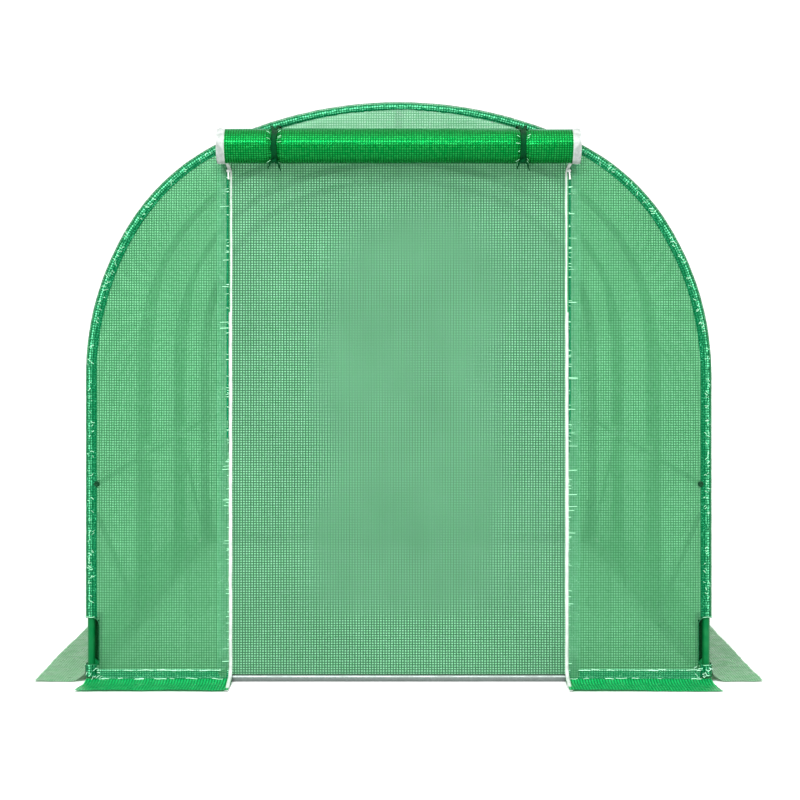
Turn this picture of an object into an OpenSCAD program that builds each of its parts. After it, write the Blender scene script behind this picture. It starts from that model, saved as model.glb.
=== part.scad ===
// Polytunnel greenhouse: galvanised tube hoops on a base frame, a fitted woven-plastic cover
// with ground skirts, and a roll-up zipped door tied up over an inner mesh screen.
// Millimetres. The origin is on the ground at the middle; the door faces -Y and +Z is up.

/* [Frame] */
// Width between the centres of a hoop's legs
frame_w = 2000; // [1700:10:2400]
// Length between the centres of the first and last hoops
frame_len = 3000; // [2400:10:6000]
// Number of bays between hoops
bays = 3; // [2:1:6]
// Height of a hoop's straight legs
leg_h = 995; // [800:5:1250]
// Rise of the arch from the top of the legs to the crown
arch_rise = 872; // [730:1:1050]
// Radius of the arch at its crown
crown_r = 1336; // [1120:1:1600]
// Angle from the crown where the crown curve meets the shoulder
crown_a = 25; // [22:1:28]
// Angle from the crown where the shoulder meets the side curve
shoulder_a = 57; // [52:1:62]
// Diameter of the hoop, base and ridge tubes
tube_d = 25; // [19:0.5:32]
// Diameter of the side rails and braces
rail_d = 16; // [12:0.5:22]
// Height of the side rails
rail_z = 644.5; // [450:0.5:750]
// Height where the front brace leaves the first hoop
brace_front_z = 540; // [350:5:600]
// Height where the rear brace leaves the last hoop but one
brace_rear_z = 600; // [350:5:620]

/* [Connectors] */
// Height of the upright socket of a corner foot
foot_h = 250; // [120:5:400]
// Reach of a corner foot or a base tee along each rail, from the hoop's centre
foot_arm = 90; // [60:1:140]
// Height of the upright socket of a base tee
tee_h = 90; // [60:1:200]
// Side of the stiffening web in a corner foot
web_w = 50; // [20:1:70]
// Thickness of that web
web_t = 5; // [3:0.5:10]
// Diameter of the caps on the ends of the side rails
cap_d = 18; // [14:0.5:26]
// How far a cap stands out of the cover
cap_out = 4; // [1:0.5:10]

/* [Cover] */
// Thickness of the cover
fabric_t = 2; // [1:0.5:4]
// Width of the end sleeve on its legs
sleeve_w = 37; // [28:1:60]
// Width of the end sleeve at its crown
sleeve_crown_w = 28; // [20:1:50]
// How far the end sleeve reaches along the cover
sleeve_wrap = 60; // [50:1:120]
// Width of the strips over the middle hoops
band_w = 55; // [30:1:90]
// Thickness of those strips
band_t = 1; // [0.5:0.5:2]
// Height of the lower edge of the corner cut-outs
pocket_z = 57; // [45:1:100]
// Height of the corner cut-outs
pocket_h = 154; // [80:1:180]
// Width of the corner cut-outs along the end and along the side
pocket_w = 43; // [34:1:55]
// Reach of the side skirts over the ground
skirt_w = 166; // [80:1:300]
// Height where the side skirts leave the walls
skirt_z = 34; // [10:1:50]
// Reach of the end flaps over the ground
flap_w = 131; // [80:1:250]
// Height where the end flaps leave the walls
flap_z = 12; // [6:1:30]
// How far from the wall the skirts and flaps come down flat
flap_bend = 50; // [20:1:75]

/* [Door] */
// Width of the doorway between the zip centres
door_w = 1092; // [700:2:1300]
// Drop from the crown of the frame to the top of the doorway
door_drop = 167; // [150:1:260]
// Distance of a door post outside its zip
post_inset = 18; // [16:1:60]
// Width of a zip
zip_w = 11; // [6:0.5:16]
// Thickness of a zip
zip_t = 1.5; // [0.5:0.5:3]
// Width of the stiff facing beside a zip
facing_w = 38; // [20:1:60]
// Diameter of the rolled-up door
roll_d = 117; // [80:1:150]
// How far the rolled-up door passes the doorway at each end
roll_over = 34; // [10:1:60]
// Height of the roll's centre above the top of the doorway
roll_rise = 35; // [0:1:50]
// Width of the wound zip tape at each end of the roll
coil_w = 22; // [12:1:30]
// Distance between the two ties
tie_spacing = 794; // [400:2:1000]
// Width of a tie
tie_w = 20; // [10:1:40]
// Thickness of a tie
tie_t = 1.5; // [1:0.5:3]
// Length of a tie's loose ends
tail_l = 32; // [15:1:60]

/* [Hidden] */
$fn = 64;
seat = 0.3;          // clearance where one piece rests on another
tube_gap = 0.4;      // gap at the joints between the tube sections of a hoop
seam = 0.2;          // clearance where two pieces of cover are sewn together
drape = 0.5;         // clearance of the cover from the corners of the many-sided arch
arc_step = 2;        // degrees between the points of the cover's arch
bar_end = 4;         // length of a brace past its fixing point
past = 1;            // how far a cut passes the surface it goes through
knot_d = 14;         // size of a tie's knot
tail_a = 24;         // angle of a tie's loose ends from upright

hoops = bays + 1;
bay = frame_len / bays;
top_z = leg_h + arch_rise;               // centre of the tube at the crown
end_y = frame_len / 2;                   // centre of the end hoops
tube_r = tube_d / 2;
rail_x = frame_w / 2 - tube_r - rail_d / 2 - seat;
post_x = door_w / 2 + post_inset;
door_top = top_z - door_drop;

// The cover's surfaces, as distances out from the centre-line of the hoops
cover_in = tube_r + drape;
cover_out = cover_in + fabric_t;
sleeve_in = cover_out + seam;
sleeve_out = sleeve_in + fabric_t;
wall_y = end_y + cover_in;               // inner face of an end wall
face_y = wall_y + fabric_t;              // outer face of an end wall
sleeve_y = face_y + seam;                // inner face of the sleeve across an end wall
zip_y = face_y + seam;                   // inner face of a zip and its facing

// The roll hangs in front of the doorway, just clear of the end sleeve
roll_y = sleeve_y + fabric_t + seat + roll_d / 2;
roll_z = door_top + roll_rise;
roll_l = door_w + 2 * roll_over;

// The arch is three tangent arcs a side: crown, shoulder and side
s1 = sin(crown_a);
c1 = cos(crown_a);
s2 = sin(shoulder_a);
c2 = cos(shoulder_a);
span_left = frame_w / 2 - crown_r * s1;
rise_left = arch_rise - crown_r * (1 - c1);
det = (s2 - s1) * c2 - (1 - s2) * (c1 - c2);
shoulder_r = (span_left * c2 - (1 - s2) * rise_left) / det;
side_r = ((s2 - s1) * rise_left - (c1 - c2) * span_left) / det;
crown_c = [0, top_z - crown_r];
shoulder_c = crown_c + (crown_r - shoulder_r) * [s1, c1];
side_c = shoulder_c + (shoulder_r - side_r) * [s2, c2];

steel = [0.66, 0.69, 0.70];
green_plastic = [0.05, 0.45, 0.22];
cover_green = [0.40, 0.73, 0.50];
sleeve_green = [0.18, 0.63, 0.38];
flap_green = [0.13, 0.70, 0.37];
mesh_green = [0.42, 0.72, 0.52];
roll_green = [0.07, 0.62, 0.28];
tie_green = [0.00, 0.43, 0.18];
zip_white = [0.93, 0.94, 0.92];

function hoop_y(i) = -end_y + (i - 1) * bay;
function is_end(i) = i == 1 || i == hoops;
function arc(c, r, a0, a1) =
    let (n = ceil((a1 - a0) / arc_step))
    [for (k = [0 : n]) let (a = a0 + (a1 - a0) * k / n) c + r * [sin(a), cos(a)]];
function half_arch(off) = concat(
    arc(crown_c, crown_r + off, 0, crown_a),
    arc(shoulder_c, shoulder_r + off, crown_a, shoulder_a),
    arc(side_c, side_r + off, shoulder_a, 90));
// Height of a hoop's centre-line above a point on its way across
function arch_z(x) =
    x <= crown_r * s1
        ? crown_c.y + sqrt(crown_r * crown_r - x * x)
        : shoulder_c.y + sqrt(shoulder_r * shoulder_r - (x - shoulder_c.x) * (x - shoulder_c.x));
// Height of the underside of a skirt that leaves the wall at height z, at distance u
function lip(u, z) = u < flap_bend ? (z - fabric_t) * pow(1 - u / flap_bend, 2) : 0;

// Places a flat outline upright, across the tunnel, from y0 to y1
module across(y0, y1) {
    translate([0, y1, 0]) rotate([90, 0, 0]) linear_extrude(y1 - y0) children();
}

module both_ends() {
    children();
    mirror([0, 1, 0]) children();
}

module both_sides() {
    children();
    mirror([1, 0, 0]) children();
}

// The outline of the tunnel, a distance off the centre-line of the hoops, from z0 upwards
module arch(off, z0) {
    half = half_arch(off);
    x = frame_w / 2 + off;
    polygon(concat(
        [for (k = [len(half) - 1 : -1 : 0]) [-half[k].x, half[k].y]],
        [for (k = [1 : len(half) - 1]) half[k]],
        [[x, z0], [-x, z0]]));
}

// A length of tube bent about c, from a0 to a1 degrees off the crown, with gap left at its ends
module bend(c, r, a0, a1, d, gap = 0) {
    g = gap / 2 / r * 180 / PI;
    translate([c.x, 0, c.y]) rotate([90, 0, 0]) rotate([0, 0, 90 - a1 + g])
        rotate_extrude(angle = a1 - a0 - 2 * g) translate([r, 0]) circle(d = d);
}

// A hoop of swaged tube sections: a crown, two shoulders, two sides and two legs
module hoop_tube(foot_z) {
    bend(crown_c, crown_r, -crown_a, crown_a, tube_d, tube_gap);
    both_sides() {
        bend(shoulder_c, shoulder_r, crown_a, shoulder_a, tube_d, tube_gap);
        bend(side_c, side_r, shoulder_a, 90, tube_d, tube_gap);
        translate([frame_w / 2, 0, foot_z])
            cylinder(d = tube_d, h = leg_h - tube_gap / 2 - foot_z);
    }
}

module bar(p, q, d) {
    v = q - p;
    l = norm(v);
    translate(p) rotate([0, acos(v.z / l), atan2(v.y, v.x)])
        translate([0, 0, -bar_end]) cylinder(d = d, h = l + 2 * bar_end);
}

module hoop(i) {
    color(steel) translate([0, hoop_y(i), 0]) hoop_tube(is_end(i) ? foot_h : tee_h);
}

module base_rail_side() {
    color(steel)
    for (i = [1 : bays]) {
        y0 = hoop_y(i) + foot_arm;
        translate([frame_w / 2, y0, tube_r]) rotate([-90, 0, 0])
            cylinder(d = tube_d, h = bay - 2 * foot_arm);
    }
}

module base_rail_end() {
    l = frame_w - 2 * foot_arm;
    color(steel) translate([-l / 2, -end_y, tube_r]) rotate([0, 90, 0]) cylinder(d = tube_d, h = l);
}

module ridge_rail() {
    l = frame_len + tube_d;
    color(steel) translate([0, -l / 2, top_z - tube_d - seat]) rotate([-90, 0, 0])
        cylinder(d = tube_d, h = l);
}

module side_rail() {
    l = frame_len + tube_d;
    color(steel) translate([rail_x, -l / 2, rail_z]) rotate([-90, 0, 0])
        cylinder(d = rail_d, h = l);
}

module rail_caps() {
    color(green_plastic) both_ends() both_sides()
        translate([rail_x, -end_y - tube_r, rail_z]) rotate([90, 0, 0])
            cylinder(d = cap_d, h = sleeve_y + fabric_t + cap_out - end_y - tube_r);
}

module braces() {
    foot_in = foot_arm + tube_d;
    color(steel) {
        bar([rail_x, -end_y, brace_front_z], [rail_x, hoop_y(2) - foot_in, tube_r], rail_d);
        bar([rail_x, hoop_y(bays), brace_rear_z], [rail_x, end_y - foot_in, tube_r], rail_d);
    }
}

module door_post() {
    color(steel) difference() {
        translate([post_x, -end_y, tube_r]) cylinder(d = tube_d, h = arch_z(post_x) - tube_r);
        translate([0, -end_y, 0]) {
            bend(crown_c, crown_r, 0, crown_a, tube_d + 2 * seat);
            bend(shoulder_c, shoulder_r, crown_a, shoulder_a, tube_d + 2 * seat);
        }
        translate([post_x, -end_y, tube_r]) rotate([0, 90, 0])
            cylinder(d = tube_d + 2 * seat, h = 4 * tube_d, center = true);
    }
}

module corner_foot() {
    color(green_plastic) translate([frame_w / 2, -end_y, 0]) {
        cylinder(d = tube_d, h = foot_h);
        translate([0, 0, tube_r]) rotate([0, -90, 0]) cylinder(d = tube_d, h = foot_arm);
        translate([0, 0, tube_r]) rotate([-90, 0, 0]) cylinder(d = tube_d, h = foot_arm);
        translate([0, web_t / 2, tube_r]) rotate([90, 0, 0]) mirror([1, 0, 0]) linear_extrude(web_t) web();
        translate([-web_t / 2, 0, tube_r]) rotate([90, 0, 90]) linear_extrude(web_t) web();
    }
}

module web() {
    polygon([[0, 0], [tube_r + web_w, 0], [tube_r + web_w, tube_r],
             [tube_r, tube_r + web_w], [0, tube_r + web_w]]);
}

module base_tees() {
    color(green_plastic)
    for (i = [2 : bays])
        translate([frame_w / 2, hoop_y(i), 0]) {
            cylinder(d = tube_d, h = tee_h);
            translate([0, foot_arm, tube_r]) rotate([90, 0, 0])
                cylinder(d = tube_d, h = 2 * foot_arm);
        }
}

// The cut-outs at the feet of the end hoops, where the corner feet show
module pockets() {
    both_sides()
        translate([frame_w / 2 + sleeve_out - pocket_w, -sleeve_y - fabric_t - past, pocket_z])
            cube([pocket_w + past, pocket_w + past, pocket_h]);
}

// The eyelets round the ends of the side rails
module eyelets() {
    both_sides()
        translate([rail_x, -wall_y + past, rail_z]) rotate([90, 0, 0])
            cylinder(d = cap_d + 2 * seat, h = 2 * fabric_t + seam + 2 * past);
}

module roof_cover() {
    color(cover_green) difference() {
        across(-wall_y + seam, wall_y - seam) difference() {
            arch(cover_out, skirt_z + seam);
            arch(cover_in, skirt_z + seam - past);
        }
        both_ends() pockets();
    }
}

module end_wall(outer_z) {
    across(-face_y, -wall_y) arch(cover_out, outer_z);
}

module front_wall_side() {
    x0 = door_w / 2 + seam;
    color(cover_green) difference() {
        intersection() {
            end_wall(flap_z + seam);
            translate([x0, -face_y - past, 0])
                cube([frame_w, fabric_t + 2 * past, 2 * top_z]);
        }
        pockets();
        eyelets();
    }
}

module front_wall_top() {
    w = door_w;
    color(cover_green) intersection() {
        end_wall(flap_z);
        translate([-w / 2, -face_y - past, door_top])
            cube([w, fabric_t + 2 * past, top_z]);
    }
}

module mesh_screen() {
    z0 = tube_d + fabric_t;
    w = door_w;
    color(mesh_green) intersection() {
        end_wall(flap_z);
        translate([-w / 2, -face_y - past, z0])
            cube([w, fabric_t + 2 * past, door_top - seam - z0]);
    }
}

module rear_wall() {
    color(cover_green) mirror([0, 1, 0]) difference() {
        end_wall(flap_z + seam);
        pockets();
        eyelets();
    }
}

// The doubled strip that holds an end hoop, folded from the cover onto the end wall
module sleeve() {
    z0 = skirt_z + 2 * seam;
    color(sleeve_green) difference() {
        union() {
            across(-sleeve_y - fabric_t, -sleeve_y) difference() {
                arch(sleeve_out, z0);
                translate([0, sleeve_w - sleeve_crown_w]) arch(sleeve_out - sleeve_w, -leg_h);
            }
            across(-sleeve_y, -sleeve_y + sleeve_wrap) difference() {
                arch(sleeve_out, z0);
                arch(sleeve_in, z0 - past);
            }
        }
        pockets();
        eyelets();
    }
}

module cover_bands() {
    z0 = skirt_z + 2 * seam;
    color(sleeve_green)
    for (i = [2 : bays])
        across(hoop_y(i) - band_w / 2, hoop_y(i) + band_w / 2) difference() {
            arch(sleeve_in + band_t, z0);
            arch(sleeve_in, z0 - past);
        }
}

// The section of a skirt that leaves a wall at height z and reaches w over the ground,
// between u0 and w from the wall, thick in height, and lifted clear of the ground
module skirt_section(z, w, u0, lift, thick) {
    bend_n = 12;
    us = concat([for (k = [0 : bend_n]) u0 + (flap_bend - u0) * k / bend_n], [w]);
    polygon(concat(
        [for (u = us) [u, lip(u, z) + lift]],
        [for (k = [len(us) - 1 : -1 : 0]) [us[k], lip(us[k], z) + lift + thick]]));
}

module side_skirt() {
    l = 2 * (wall_y - seam);
    color(flap_green) translate([frame_w / 2 + cover_in, l / 2, 0]) rotate([90, 0, 0])
        linear_extrude(l) skirt_section(skirt_z, skirt_w, 0, 0, fabric_t);
}

// An end flap from x0 to x1, at the front
module end_flap(x0, x1) {
    color(flap_green) translate([x1, -wall_y, 0]) rotate([90, 0, -90])
        linear_extrude(x1 - x0) skirt_section(flap_z, flap_w, 0, 0, fabric_t);
}

// A strip up the front wall from z0 to the top of the doorway, cut off where it meets the sleeve
module wall_strip(x0, w, t, z0) {
    intersection() {
        translate([x0, -zip_y - t, z0]) cube([w, t, door_top - z0]);
        across(-zip_y - t - past, -zip_y + past) translate([0, sleeve_w - sleeve_crown_w])
            arch(sleeve_out - sleeve_w - seat, -leg_h);
    }
}

module zipper() {
    x0 = (door_w - zip_w) / 2;
    u0 = zip_y - wall_y;
    lift = fabric_t + seam;
    color(zip_white) {
        wall_strip(x0, zip_w, zip_t, lip(u0 + zip_t, flap_z) + lift + zip_t / 2);
        translate([x0 + zip_w, -wall_y, 0]) rotate([90, 0, -90])
            linear_extrude(zip_w) skirt_section(flap_z, flap_w, u0, lift, zip_t);
    }
}

module zip_facing() {
    color(sleeve_green) wall_strip((door_w + zip_w) / 2 + seam, facing_w, band_t, skirt_z);
}

module roll_part(x0, x1, d) {
    translate([x0, -roll_y, roll_z]) rotate([0, 90, 0]) cylinder(d = d, h = x1 - x0);
}

module door_roll() {
    x = roll_l / 2 - coil_w;
    color(roll_green) roll_part(-x, x, roll_d);
}

module roll_zip_ends() {
    color(zip_white) both_sides() roll_part(roll_l / 2 - coil_w, roll_l / 2, roll_d);
}

module tie() {
    r = roll_d / 2 + seat;
    x0 = (tie_spacing - tie_w) / 2;
    color(tie_green) difference() {
        union() {
            roll_part(x0, x0 + tie_w, 2 * (r + tie_t));
            translate([tie_spacing / 2, -roll_y, roll_z - r - tie_t / 2]) {
                rotate([90, 0, 0]) cylinder(d = knot_d, h = knot_d / 2, center = true);
                for (a = [-tail_a, tail_a])
                    rotate([0, a, 0]) translate([-tie_w / 4, -tie_t, -tail_l])
                        cube([tie_w / 2, 2 * tie_t, tail_l]);
            }
        }
        roll_part(x0 - tie_w, x0 + 2 * tie_w, 2 * r);
    }
}

for (i = [1 : hoops])
    hoop(i);
mirror([1, 0, 0]) base_rail_side();  // base_rail_left
base_rail_side();  // base_rail_right
base_rail_end();  // base_rail_front
mirror([0, 1, 0]) base_rail_end();  // base_rail_rear
ridge_rail();
mirror([1, 0, 0]) side_rail();  // side_rail_left
side_rail();  // side_rail_right
mirror([1, 0, 0]) braces();  // brace_left
braces();  // brace_right
mirror([1, 0, 0]) door_post();  // door_post_left
door_post();  // door_post_right
mirror([1, 0, 0]) corner_foot();  // corner_foot_front_left
corner_foot();  // corner_foot_front_right
mirror([1, 0, 0]) mirror([0, 1, 0]) corner_foot();  // corner_foot_rear_left
mirror([0, 1, 0]) corner_foot();  // corner_foot_rear_right
mirror([1, 0, 0]) base_tees();  // base_tee_left
base_tees();  // base_tee_right
rail_caps();
roof_cover();
mirror([1, 0, 0]) front_wall_side();  // front_wall_left
front_wall_side();  // front_wall_right
front_wall_top();
rear_wall();
sleeve();  // sleeve_front
mirror([0, 1, 0]) sleeve();  // sleeve_rear
cover_bands();
mirror([1, 0, 0]) side_skirt();  // side_skirt_left
side_skirt();  // side_skirt_right
end_flap(-frame_w / 2 - cover_out, -(door_w - zip_w) / 2);  // front_flap_left
end_flap((door_w - zip_w) / 2, frame_w / 2 + cover_out);  // front_flap_right
mirror([0, 1, 0]) end_flap(-frame_w / 2 - cover_out, frame_w / 2 + cover_out);  // rear_flap
mirror([1, 0, 0]) zipper();  // zipper_left
zipper();  // zipper_right
mirror([1, 0, 0]) zip_facing();  // zip_facing_left
zip_facing();  // zip_facing_right
mesh_screen();
door_roll();
roll_zip_ends();
mirror([1, 0, 0]) tie();  // tie_left
tie();  // tie_right
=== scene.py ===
"""Polytunnel greenhouse: woven cover, sleeves, skirts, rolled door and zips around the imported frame."""
import math

import bpy
import numpy as np
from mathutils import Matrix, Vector


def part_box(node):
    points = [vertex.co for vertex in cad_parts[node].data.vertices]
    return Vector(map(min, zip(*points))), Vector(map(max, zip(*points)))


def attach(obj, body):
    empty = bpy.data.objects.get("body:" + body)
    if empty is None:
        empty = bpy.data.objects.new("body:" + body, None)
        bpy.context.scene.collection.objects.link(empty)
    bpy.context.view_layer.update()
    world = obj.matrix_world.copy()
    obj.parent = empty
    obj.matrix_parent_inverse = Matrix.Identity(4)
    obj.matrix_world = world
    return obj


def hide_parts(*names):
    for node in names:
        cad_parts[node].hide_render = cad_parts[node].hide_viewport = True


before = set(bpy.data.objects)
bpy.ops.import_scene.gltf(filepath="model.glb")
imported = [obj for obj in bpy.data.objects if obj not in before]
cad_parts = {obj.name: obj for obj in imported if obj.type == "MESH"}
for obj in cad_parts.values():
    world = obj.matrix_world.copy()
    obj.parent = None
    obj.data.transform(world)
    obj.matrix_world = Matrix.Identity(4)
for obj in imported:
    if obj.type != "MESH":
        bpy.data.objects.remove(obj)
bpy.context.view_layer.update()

# --- Sizes, in metres, from the frame where it holds them ---


def middle(node, axis):
    """The middle of a node's box along an axis."""
    low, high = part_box(node)
    return (low[axis] + high[axis]) / 2


def extent(node, axis):
    """A node's size along an axis."""
    low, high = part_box(node)
    return high[axis] - low[axis]


TUBE_R = extent("base_rail_front", 2) / 2
HOOP_YS = [middle(f"hoop_{i}", 1) for i in (1, 2, 3, 4)]
END_Y = HOOP_YS[-1]
HALF_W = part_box("hoop_1")[1][0] - TUBE_R  # from the middle to the centre of a leg
TOP_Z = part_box("hoop_1")[1][2] - TUBE_R  # centre of the tube at the crown
LEG_H = 0.995  # where the straight legs end and the arch starts
CROWN_R = 1.336  # radius of the arch at the crown
CROWN_A = math.radians(25)  # the crown curve ends this far off the top
SHOULDER_A = math.radians(57)  # and the shoulder curve here
FACE_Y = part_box("rear_wall")[1][1]  # outer face of an end wall
WALL_Y = FACE_Y - 0.002  # and its sheet, the doubled thickness inside that
COVER_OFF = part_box("roof_cover")[1][0] - HALF_W
EDGE_X = HALF_W + COVER_OFF  # outer face of the cover beside a leg
SKIRT_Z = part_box("roof_cover")[0][2]  # where the side skirts leave the walls
SKIRT_W = extent("side_skirt_right", 0)
FLAP_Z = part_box("rear_wall")[0][2]  # where the end flaps leave the walls
FLAP_W = extent("rear_flap", 1)
FLAP_BEND = 0.050  # skirts and flaps come down flat this far out
SLEEVE_W = 0.037  # end sleeve across the legs
SLEEVE_CROWN_W = 0.028  # and across the crown
SLEEVE_WRAP = 0.060  # how far it lies back along the cover
SLEEVE_R = 0.0185  # its bend round the tube
BAND_W = 0.055  # strips over the middle hoops
POCKET_Z = (0.057, 0.211)  # the cut-outs at the corners, low and high
POCKET_W = 0.043
POCKET_R = 0.024  # rounding of the upper inner corner
POCKET_LINES = list(np.arange(POCKET_Z[0], POCKET_Z[1] + 0.001, 0.0077))  # grid lines across them
HEM_Z = (0.010, 0.043)  # the doubled foot of an end wall
DOOR_X = middle("zipper_right", 0)
DOOR_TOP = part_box("mesh_screen")[1][2]
ZIP_W = extent("zipper_right", 0)
FACING_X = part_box("zip_facing_right")[0][0]  # the edge beside the zip
FACING_W = extent("zip_facing_right", 0)
ROLL_Y = middle("door_roll", 1)
ROLL_Z = middle("door_roll", 2)
ROLL_R = extent("door_roll", 2) / 2
ROLL_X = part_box("door_roll")[1][0]
COIL_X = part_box("roll_zip_ends")[1][0]
TIE_X = middle("tie_right", 0)
TIE_W = 0.020
TIE_THICK = 0.0014
LAPS = 8.0  # the door is wound round this often
CORE = 0.016  # from this radius out
ZIP_BEND_Z = 0.045  # the zip leaves the wall here
ZIP_BEND_R = 0.030  # on this bend, out onto the flap
RAIL_X = middle("side_rail_right", 0)
RAIL_Z = middle("side_rail_right", 2)
CAMERA_BACK = 5.1  # from the camera to the door end
CAMERA_UP = 1.2256
FINE = 1.0
REAR = 20  # the pattern of waves in the rear wall
SIDES = ((-1, "left"), (1, "right"))

# --- The arch, three tangent curves a side ---

S1, C1 = math.sin(CROWN_A), math.cos(CROWN_A)
S2, C2 = math.sin(SHOULDER_A), math.cos(SHOULDER_A)
SPAN_LEFT = HALF_W - CROWN_R * S1
RISE_LEFT = TOP_Z - LEG_H - CROWN_R * (1 - C1)
DET = (S2 - S1) * C2 - (1 - S2) * (C1 - C2)
SHOULDER_R = (SPAN_LEFT * C2 - (1 - S2) * RISE_LEFT) / DET
SIDE_R = ((S2 - S1) * RISE_LEFT - (C1 - C2) * SPAN_LEFT) / DET
CROWN_C = np.array([0.0, TOP_Z - CROWN_R])
SHOULDER_C = CROWN_C + (CROWN_R - SHOULDER_R) * np.array([S1, C1])
SIDE_C = SHOULDER_C + (SHOULDER_R - SIDE_R) * np.array([S2, C2])
CROWN_L = CROWN_R * CROWN_A
SHOULDER_L = CROWN_L + SHOULDER_R * (SHOULDER_A - CROWN_A)
ARCH_L = SHOULDER_L + SIDE_R * (math.pi / 2 - SHOULDER_A)  # crown to the top of a leg


def arch(s, off=0.0):
    """x, z and the outward normal at distance s from the crown along the hoop, off outside it."""
    a = np.abs(s)
    in_crown, in_shoulder = a < CROWN_L, a < SHOULDER_L
    turn = np.where(in_crown, a / CROWN_R,
                    np.where(in_shoulder, CROWN_A + (a - CROWN_L) / SHOULDER_R,
                             np.minimum(SHOULDER_A + (a - SHOULDER_L) / SIDE_R, math.pi / 2)))
    radius = np.where(in_crown, CROWN_R, np.where(in_shoulder, SHOULDER_R, SIDE_R)) + off
    cx = np.where(in_crown, CROWN_C[0], np.where(in_shoulder, SHOULDER_C[0], SIDE_C[0]))
    cz = np.where(in_crown, CROWN_C[1], np.where(in_shoulder, SHOULDER_C[1], SIDE_C[1]))
    nx, nz = np.sin(turn), np.cos(turn)
    side = np.where(s < 0, -1.0, 1.0)
    return side * (cx + radius * nx), cz + radius * nz - np.maximum(a - ARCH_L, 0), side * nx, nz


def leg_s(z):
    """Distance from the crown down to height z on a straight leg."""
    return ARCH_L + LEG_H - z


def leg_z(s):
    """Height at distance s from the crown, on a straight leg."""
    return LEG_H - (np.abs(s) - ARCH_L)


TABLE_S = np.linspace(0, ARCH_L + LEG_H, 3000)


def half_width(z, off):
    """Half the tunnel's width at height z, off outside the hoops' centre-line."""
    x, height, _, _ = arch(TABLE_S, off)
    return np.interp(z, height[::-1], x[::-1])


# --- Folds and creases ---

LATTICE = np.random.RandomState(11).rand(128, 128) * 2 - 1


def soft(u, v, seed=0):
    """Smooth noise from -1 to 1, one bump per unit of u and v."""
    u, v = np.asarray(u, float) + 17.3 * seed, np.asarray(v, float) + 9.1 * seed
    iu, iv = np.floor(u).astype(int), np.floor(v).astype(int)
    fu, fv = u - iu, v - iv
    fu, fv = fu * fu * (3 - 2 * fu), fv * fv * (3 - 2 * fv)
    a, b = LATTICE[iu % 128, iv % 128], LATTICE[(iu + 1) % 128, iv % 128]
    c, d = LATTICE[iu % 128, (iv + 1) % 128], LATTICE[(iu + 1) % 128, (iv + 1) % 128]
    return (a * (1 - fu) + b * fu) * (1 - fv) + (c * (1 - fu) + d * fu) * fv


def crease(u, v, seed=0):
    """Sharp-crested folds from 0 to 1."""
    broad = 1 - np.abs(soft(u, v, seed)) ** 0.7
    return broad * 0.6 + (1 - np.abs(soft(2.1 * u, 2.1 * v, seed + 5))) * 0.4


def smooth_step(x, low, high):
    """From 0 at low to 1 at high, easing in and out."""
    t = np.clip((x - low) / (high - low), 0, 1)
    return t * t * (3 - 2 * t)


def lines(low, high, step, extra=()):
    """Grid lines about step apart, with extra ones at given places."""
    marks = sorted({low, high, *[e for e in extra if low < e < high]})
    out = [low]
    for a, b in zip(marks[:-1], marks[1:]):
        out += list(np.linspace(a, b, max(1, round((b - a) / (step * FINE))) + 1)[1:])
    return np.array(out)


def pack(*parts):
    """Puts numbers or arrays side by side, as points or cloth coordinates."""
    return np.stack(np.broadcast_arrays(*parts), -1)


def grid_of(a, b):
    """Every pairing of a, down the rows, with b, along them."""
    return np.meshgrid(a, b, indexing="ij")


def cells(a):
    """The middle of each cell of a grid of numbers."""
    return (a[:-1, :-1] + a[1:, 1:]) / 2


def run_along(path):
    """How far along a path each of its points is."""
    return np.concatenate([[0], np.cumsum(np.linalg.norm(np.diff(path, axis=0), axis=1))])


def unit(v):
    """Each row of v, made one long."""
    return v / np.linalg.norm(v, axis=-1, keepdims=True)


def lip(u, z):
    """Height of a skirt that leaves the wall at height z, at distance u from the wall."""
    return z * np.clip(1 - u / FLAP_BEND, 0, 1) ** 2


# --- Meshes ---


def put_in_scene(name, data, place=(0, 0, 0), turn=(0, 0, 0)):
    """Makes an object of some data and links it into the scene."""
    ob = bpy.data.objects.new(name, data)
    ob.location, ob.rotation_euler = place, turn
    bpy.context.collection.objects.link(ob)
    return ob


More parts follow.
